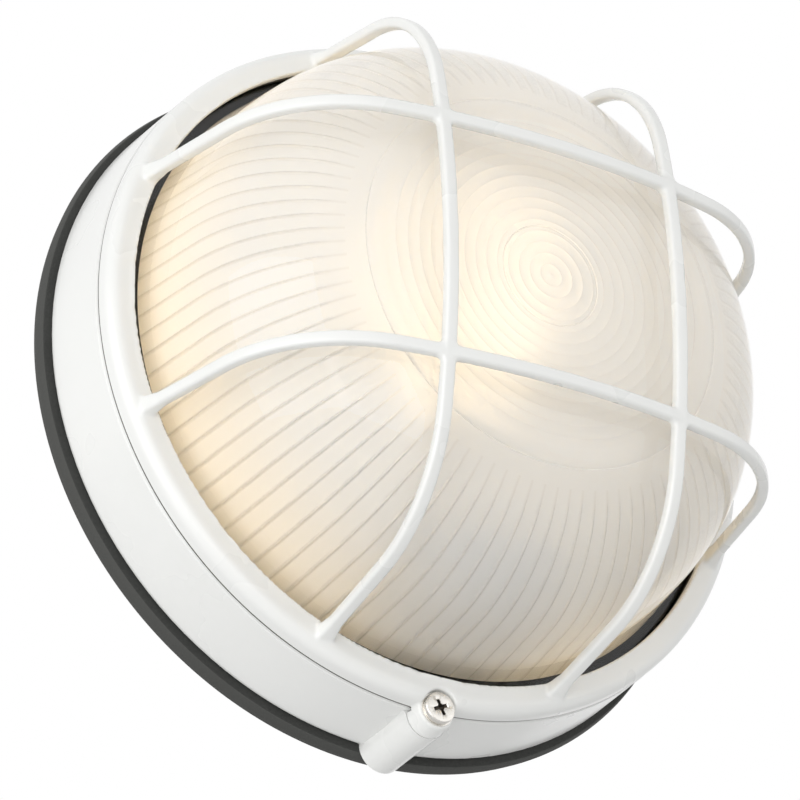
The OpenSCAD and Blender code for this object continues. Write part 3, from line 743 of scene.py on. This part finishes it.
def screw_way():
    """A cutter for the two screw holes, each with its flat seat in the front of the ring."""
    seat = ring_back + lug_t
    back = ring_back - lug_drop - 2 * cast_spare
    steps = [(0, back), (hole_r, back), (hole_r, seat), (spot_r, seat), (spot_r, spot_top), (0, spot_top)]
    outline([(radius * MM, -height * MM, screw_r * MM) for radius, height in steps])
    bpy.ops.mesh.spin(steps=hole_steps, angle=2 * math.pi, center=(0, 0, screw_r * MM), axis=(0, 1, 0))
    weld()
    copy_round(1, math.pi)
    weld()
    return take_piece("screw_way")


def face_off(name, radius, height, steps):
    """Cuts the back of the guard flat at a height over the wall, out to a radius."""
    turned([(0, 0), (radius, 0), (radius, height), (0, height)], steps)
    cut_away(guard, take_piece(name))


cut_away(ring, screw_way())
cut_away(lugs, screw_way())
guard = one_object(bars, webs, lugs, ring)
modify(guard, "REMESH", mode="VOXEL", voxel_size=cast_grain * MM)
modify(guard, "SMOOTH", factor=0.5, iterations=cast_smooth)
modify(guard, "DECIMATE", ratio=cast_keep)
face_off("ring_facing", base_clear_r, ring_back, ring_steps)
face_off("lug_facing", 2 * base_clear_r, ring_back - lug_drop, lug_steps)
guard = take_piece("guard_cast", smooth=50)
guard.data.materials.append(white_paint)
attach(guard, "cover")
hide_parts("guard")


# Retaining screws: nickel-plated steel, with flat pan heads and cross recesses, each on a plain washer.
# They stay in the guard's lugs and hold it, the glass and the seal to the base.
screw_axis = screw_r * MM
head_low = 35.6
head_h = 1.7
head_r = 4.55
head_round = 0.45
head_round_steps = 6
head_chamfer = 0.2
head_steps = 64
shank_r = 2.5
shank_len = 16.0
thread_rise = 0.8
thread_cut = 0.42
thread_steps = 24
recess_reach = 2.45
recess_half = 0.55
recess_web = 0.95
recess_depth = 1.5
recess_taper = 0.7
recess_spare = 0.1
recess_edge = 0.1
recess_sharp = math.radians(50)
upper_turn = -40
lower_turn = 25.5
nickel_dark = (0.74, 0.71, 0.66)
nickel_light = (0.90, 0.88, 0.84)
nickel_rough = (0.2, 0.35)
nickel_scuff = 1.5
# Painted shade inside the cross recesses: its colour, reach and roughness.
recess_shade_colour = (0.10, 0.085, 0.070)
recess_shade_rim = 0.3
recess_shade_foot = 0.05
recess_shade_rough = 0.25

nickel, shader, place = start_finish("nickel", {"Metallic": 1.0})
scuff = noise(place, nickel_scuff, detail=4.0)
aside = part_of(place, "X")
above = abs(part_of(place, "Z")) - screw_axis
inward = part_of(place, "Y")
# Painted shade darkens the inside of each cross recess, which is also made rougher.
near = above * above + aside * aside < ((recess_reach + recess_shade_rim) * MM) ** 2
sunk = inward > -(head_low + head_h - recess_shade_rim) * MM
recess_shade = near * sunk * (inward < -(head_low + recess_shade_foot) * MM)
tint(recess_shade, tint(scuff, nickel_dark, nickel_light), recess_shade_colour).feed(shader, "Base Color")
(spread(scuff, *nickel_rough) + recess_shade * recess_shade_rough).feed(shader, "Roughness")
dress("screw_washers", nickel)


def pan_screw(name, turn):
    """A screw on the light's own axis, its recess turned by some degrees seen from the front."""
    head_top = head_low + head_h
    head_profile = [(0, head_low), (head_r - head_chamfer, head_low), (head_r, head_low + head_chamfer)]
    head_profile += arc((head_r - head_round, head_top - head_round), head_round, 90, 0, head_round_steps)
    head_profile += [(0, head_top)]
    turned(head_profile, head_steps)
    head = take_piece(name)

    cross = []
    for quarter in range(4):
        arm = ((recess_reach, -recess_half), (recess_reach, recess_half))
        for out, side in (*arm, (recess_web, recess_half), (recess_half, recess_web)):
            way = math.atan2(side, out) + quarter * math.pi / 2
            reach = math.hypot(out, side) * MM
            cross.append((reach * math.cos(way), -(head_top + recess_spare) * MM, reach * math.sin(way)))
    outline(cross + cross[:1])
    bpy.ops.mesh.remove_doubles(threshold=WELD)
    bpy.ops.mesh.edge_face_add()
    sink = (0, (recess_depth + recess_spare) * MM, 0)
    bpy.ops.mesh.extrude_region_move(TRANSFORM_OT_translate={"value": sink})
    bpy.ops.transform.resize(value=(recess_taper, 1, recess_taper))
    weld()
    bpy.ops.transform.rotate(value=math.radians(turn), orient_axis="Y", center_override=(0, 0, 0))
    cut_away(head, take_piece("cross_recess"))
    modify(
        head, "BEVEL", width=recess_edge * MM, segments=2, limit_method="ANGLE", angle_limit=recess_sharp
    )

    root_r = shank_r - thread_cut
    ridge = [(root_r, 0, 0), (shank_r, 0, thread_rise / 2), (root_r, 0, thread_rise)]
    outline([(x * MM, y * MM, z * MM) for x, y, z in ridge])
    shank = take_piece("screw_thread")
    modify(
        shank, "SCREW", axis="Z", screw_offset=thread_rise * MM, iterations=int(shank_len / thread_rise) - 1,
        steps=thread_steps, render_steps=thread_steps, use_merge_vertices=True, merge_threshold=WELD,
    )
    bpy.ops.object.mode_set(mode="EDIT")
    weld()
    bpy.ops.mesh.fill_holes(sides=0)
    weld()
    bpy.ops.transform.rotate(value=math.pi / 2, orient_axis="X", center_override=(0, 0, 0))
    bpy.ops.transform.translate(value=(0, -head_low * MM, 0))
    bpy.ops.object.mode_set(mode="OBJECT")
    return one_object(shank, head)


for node, turn, side in (("retaining_screw_upper", upper_turn, 1), ("retaining_screw_lower", lower_turn, -1)):
    pan_screw(node + "_cross", turn)
    bpy.ops.object.mode_set(mode="EDIT")
    bpy.ops.mesh.select_all(action="SELECT")
    bpy.ops.transform.translate(value=(0, 0, side * screw_axis))
    screw = take_piece(node + "_cross", smooth=40)
    screw.data.materials.append(nickel)
    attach(screw, "cover")
    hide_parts(node)


# Studio: a plain pale floor far below, a white surround and three soft square lamps.
# The camera looks up at the light from below on its left.
floor_z = -1.1
floor_size = 30
floor_grey = (0.85, 0.85, 0.85, 1)
ambient = 0.62
lamp_aim = Vector((0, -0.05, 0))
camera_place = Vector((-0.61764, -1.01959, -0.65392))
camera_aim = Vector((-0.01910, -0.05000, -0.02062))
camera_roll = math.radians(-1.04)
camera_lens = 214.24
camera_sensor = 36
camera_near = 0.01

select_only()
bpy.ops.mesh.primitive_plane_add(size=floor_size, location=(0, 0, floor_z))
floor = bpy.context.object
floor.name = "floor"
floor_paint = start_finish("floor_paint", {"Base Color": floor_grey, "Roughness": 0.7})[0]
floor.data.materials.append(floor_paint)

surround = bpy.data.worlds.new("surround")
surround.use_nodes = True
sky = surround.node_tree.nodes["Background"]
sky.inputs["Color"].default_value = (1, 1, 1, 1)
path = surround.node_tree.nodes.new("ShaderNodeLightPath")
seen = Wire(path.outputs["Is Camera Ray"])
for ray in ("Is Glossy Ray", "Is Transmission Ray"):
    seen = seen.at_least(Wire(path.outputs[ray]))
spread(seen, ambient, 1).feed(sky, "Strength")
bpy.context.scene.world = surround


def soft_lamp(name, place, size, power):
    """A square studio lamp at a place, turned to the light."""
    data = bpy.data.lights.new(name, "AREA")
    data.shape = "SQUARE"
    data.size = size
    data.energy = power
    studio_lamp = bpy.data.objects.new(name, data)
    studio_lamp.location = place
    studio_lamp.visible_camera = False
    studio_lamp.rotation_euler = (lamp_aim - Vector(place)).to_track_quat("-Z", "Y").to_euler()
    bpy.context.scene.collection.objects.link(studio_lamp)


soft_lamp("key_lamp", place=(-1.95, -0.75, -0.25), size=2.2, power=25)
soft_lamp("low_lamp", place=(-0.9, -1.9, -0.8), size=1.6, power=12)
soft_lamp("fill_lamp", place=(1.6, -1.4, 0.9), size=2.0, power=4)

camera_data = bpy.data.cameras.new("camera")
camera_data.lens = camera_lens
camera_data.sensor_width = camera_sensor
camera_data.clip_start = camera_near
camera = bpy.data.objects.new("camera", camera_data)
camera.location = camera_place
camera.rotation_mode = "QUATERNION"
look = (camera_aim - camera_place).to_track_quat("-Z", "Y")
camera.rotation_quaternion = look @ Quaternion((0, 0, 1), camera_roll)
bpy.context.scene.collection.objects.link(camera)
bpy.context.scene.camera = camera
bpy.context.scene.view_settings.view_transform = "Standard"
